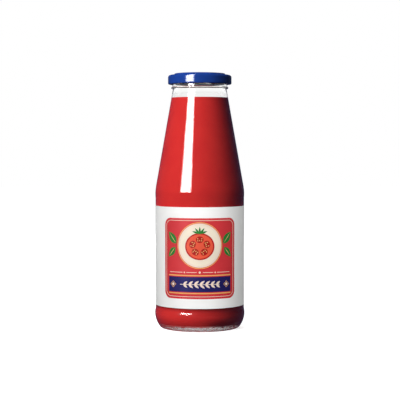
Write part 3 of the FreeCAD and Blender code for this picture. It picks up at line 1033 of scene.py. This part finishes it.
# %% Floor
clear_selection()
bpy.ops.mesh.primitive_circle_add(vertices=96, radius=4, fill_type="NGON")
ground = bpy.context.object
ground.name = "floor"
ground_look, surface = finish("studio_floor")
tree = ground_look.node_tree
surface.inputs["Base Color"].default_value = (0.8, 0.8, 0.8, 1)
surface.inputs["Roughness"].default_value = 0.9
surface.inputs["Specular IOR Level"].default_value = 0
surface.inputs["Emission Color"].default_value = (1, 1, 1, 1)
place = add_node(tree, "TexCoord").outputs["Object"]
from_axis = add_node(tree, "VectorMath", {"operation": "LENGTH"}, {0: place})
white = add_node(
    tree, "MapRange",
    {"From Min": 0.05, "From Max": 0.3, "To Min": 0.72, "To Max": 1.0,
     "interpolation_type": "SMOOTHSTEP"},
    {"Value": from_axis.outputs["Value"]},
)
path = add_node(tree, "LightPath")
either = add_node(
    tree, "Math", {"operation": "MAXIMUM"},
    {0: path.outputs["Is Camera Ray"], 1: path.outputs["Is Transmission Ray"]},
)
level = add_node(
    tree, "Math", {"operation": "MULTIPLY"}, {0: either.outputs[0], 1: white.outputs[0]}
)
tree.links.new(level.outputs[0], surface.inputs["Emission Strength"])
wear(ground, ground_look)
ground.visible_diffuse = False
ground.visible_glossy = False

# %% Backdrop
world = bpy.data.worlds.new("studio")
bpy.context.scene.world = world
world.use_nodes = True
tree = world.node_tree
background = tree.nodes["Background"]
background.inputs["Color"].default_value = (1, 1, 1, 1)
path = add_node(tree, "LightPath")
seen = add_node(
    tree, "Math", {"operation": "MAXIMUM"},
    {0: path.outputs["Is Camera Ray"], 1: path.outputs["Is Glossy Ray"]},
)
seen_too = add_node(
    tree, "Math", {"operation": "MAXIMUM"},
    {0: seen.outputs[0], 1: path.outputs["Is Transmission Ray"]},
)
strength = add_node(
    tree, "MapRange", {"To Min": 0.045, "To Max": 1.0}, {"Value": seen_too.outputs[0]}
)
tree.links.new(strength.outputs[0], background.inputs["Strength"])


# %% Lights
def hang(name, data):
    """A lamp that only lights: no lens or mirror sees it."""
    lamp = bpy.data.objects.new(name, data)
    bpy.context.scene.collection.objects.link(lamp)
    lamp.visible_camera = False
    lamp.visible_transmission = False
    lamp.visible_glossy = False
    return lamp


def light_only(lamp, *pieces):
    """Lets a lamp light these pieces and nothing else."""
    lit = bpy.data.collections.new(lamp.name + "_lit")
    for piece in pieces:
        lit.objects.link(piece)
    lamp.light_linking.receiver_collection = lit


def softbox(name, azimuth, distance, low, high, width, power):
    """An upright box light that faces the bottle's axis."""
    data = bpy.data.lights.new(name, "AREA")
    data.shape = "RECTANGLE"
    data.size = width
    data.size_y = high - low
    data.energy = power
    box = hang(name, data)
    turn_by = math.radians(azimuth)
    box.location = (distance * math.sin(turn_by), -distance * math.cos(turn_by), (low + high) / 2)
    box.rotation_euler = (math.radians(90), 0, turn_by)
    return box


softbox("key_softbox", -37, 1.0, 0.2, 2.1, 0.6, 25)
softbox("back_softbox", 192, 1.2, 0.3, 1.6, 0.6, 20)
fill = softbox("label_fill", 45, 1.0, 0.2, 1.2, 0.5, 8.4)
light_only(fill, paper, *inks.values())

# %% Light from the table under the heel
table_light = bpy.data.lights.new("table_bounce", "AREA")
table_light.shape = "DISK"
table_light.size = 0.06
table_light.energy = 0.003
table = hang("table_bounce", table_light)
table.location = (-20 * MM, -22 * MM, 0.5 * MM)
table.rotation_euler = (math.radians(180), 0, 0)
light_only(table, passata)


# %% What reflections see
def mirror_only(piece):
    """A stage piece that only reflections see."""
    piece.visible_camera = False
    piece.visible_diffuse = False
    piece.visible_transmission = False
    piece.visible_shadow = False


def card(name, azimuth, distance, low, high, width, brightness):
    """The mirror image of a softbox, which fades towards its sides."""
    clear_selection()
    bpy.ops.mesh.primitive_plane_add(size=1)
    piece = bpy.context.object
    piece.name = name
    turn_by = math.radians(azimuth)
    piece.scale = (width, high - low, 1)
    piece.rotation_euler = (math.radians(90), 0, turn_by)
    piece.location = (distance * math.sin(turn_by), -distance * math.cos(turn_by), (low + high) / 2)
    bpy.ops.object.transform_apply(location=True, rotation=True, scale=True)
    look, surface = finish(name + "_cloth")
    surface.inputs["Base Color"].default_value = (0, 0, 0, 1)
    surface.inputs["Emission Color"].default_value = (1, 1, 1, 1)
    tree = look.node_tree
    apart = add_node(
        tree, "SeparateXYZ", links={0: add_node(tree, "TexCoord").outputs["Generated"]}
    )
    across = add_node(tree, "Math", {"operation": "SUBTRACT", 1: 0.5}, {0: apart.outputs["X"]})
    from_middle = add_node(tree, "Math", {"operation": "ABSOLUTE"}, {0: across.outputs[0]})
    glow = add_node(
        tree, "MapRange",
        {"From Min": 0.3, "From Max": 0.5, "To Min": brightness, "To Max": 0.0,
         "interpolation_type": "SMOOTHSTEP"},
        {"Value": from_middle.outputs[0]},
    )
    tree.links.new(glow.outputs[0], surface.inputs["Emission Strength"])
    wear(piece, look)
    mirror_only(piece)


card("key_card", -36, 1.0, 0.2, 2.1, 0.6, 27)

dark, surface = finish("dark_cloth")
surface.inputs["Base Color"].default_value = (0.01, 0.01, 0.01, 1)
surface.inputs["Roughness"].default_value = 1
surface.inputs["Emission Color"].default_value = (0.25, 0.4, 1.0, 1)
surface.inputs["Emission Strength"].default_value = 0.1
wall_top = 0.9
room = []
for name, low, high in (("dark_walls", -0.01, wall_top), ("dark_ceiling", wall_top, 3.2)):
    clear_selection()
    bpy.ops.mesh.primitive_cylinder_add(
        vertices=64, radius=1.7, depth=high - low, location=(0, 0, (low + high) / 2)
    )
    part = bpy.context.object
    part.name = name
    bpy.ops.object.transform_apply(location=True)
    pick_faces(part, lambda middle: abs(middle.z - wall_top) < 0.01)
    bpy.ops.mesh.delete(type="FACE")
    bpy.ops.object.mode_set(mode="OBJECT")
    wear(part, dark)
    mirror_only(part)
    room.append(part)
room[1].visible_transmission = True

bottle.visible_shadow = False
bottle.visible_diffuse = False

# %% [markdown]
# ## Finish
# Every piece rides with the bottle and stands for its solid in the frame, which is hidden.
# Each is listed with its solid and the slot of finishes that it belongs to.

# %% Tie the pieces to the frame
ties = [
    (bottle, "glass_bottle", "glass"),
    (passata, "passata", "passata"),
    (paper, "label", "label_paper"),
    (lid, "lid", "lid_enamel"),
]
ties += [(ink, "label", "label_paper") for ink in inks.values()]
for piece, node, slot in ties:
    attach(piece, "root")
    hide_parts(node)
